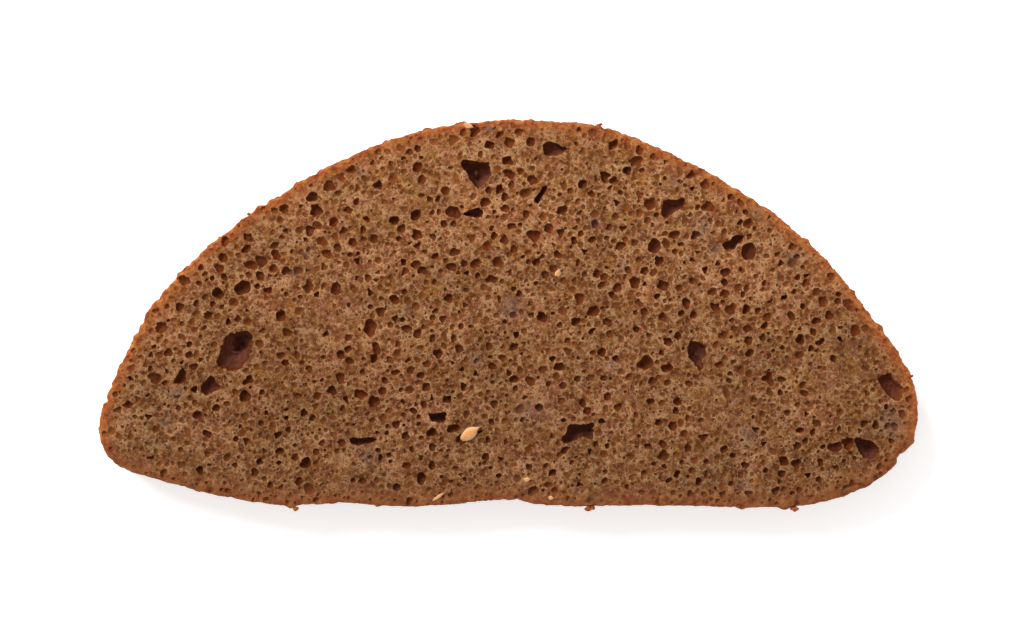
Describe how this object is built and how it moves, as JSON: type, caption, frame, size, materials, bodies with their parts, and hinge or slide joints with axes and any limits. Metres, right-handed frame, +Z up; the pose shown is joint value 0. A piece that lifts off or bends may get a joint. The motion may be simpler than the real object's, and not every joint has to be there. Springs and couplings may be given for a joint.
{
  "type": "slice of dark rye bread",
  "caption": "Slice of dark rye bread from a domed free-form loaf, lying on its cut face, with open gas bubbles in the crumb and a thin baked crust.",
  "frame": {"origin": "under the middle of the slice's bounding box, on the surface it lies on", "axes": "+X along the loaf's base, +Y from the base crust to the top of the dome, +Z up from the lower cut face to the upper one"},
  "size_m": [0.14, 0.0662, 0.012],
  "materials": {
    "rye_bread": "matte"
  },
  "bodies": {
    "root": {"bread_slice": "rye_bread"}
  },
  "joints": []
}
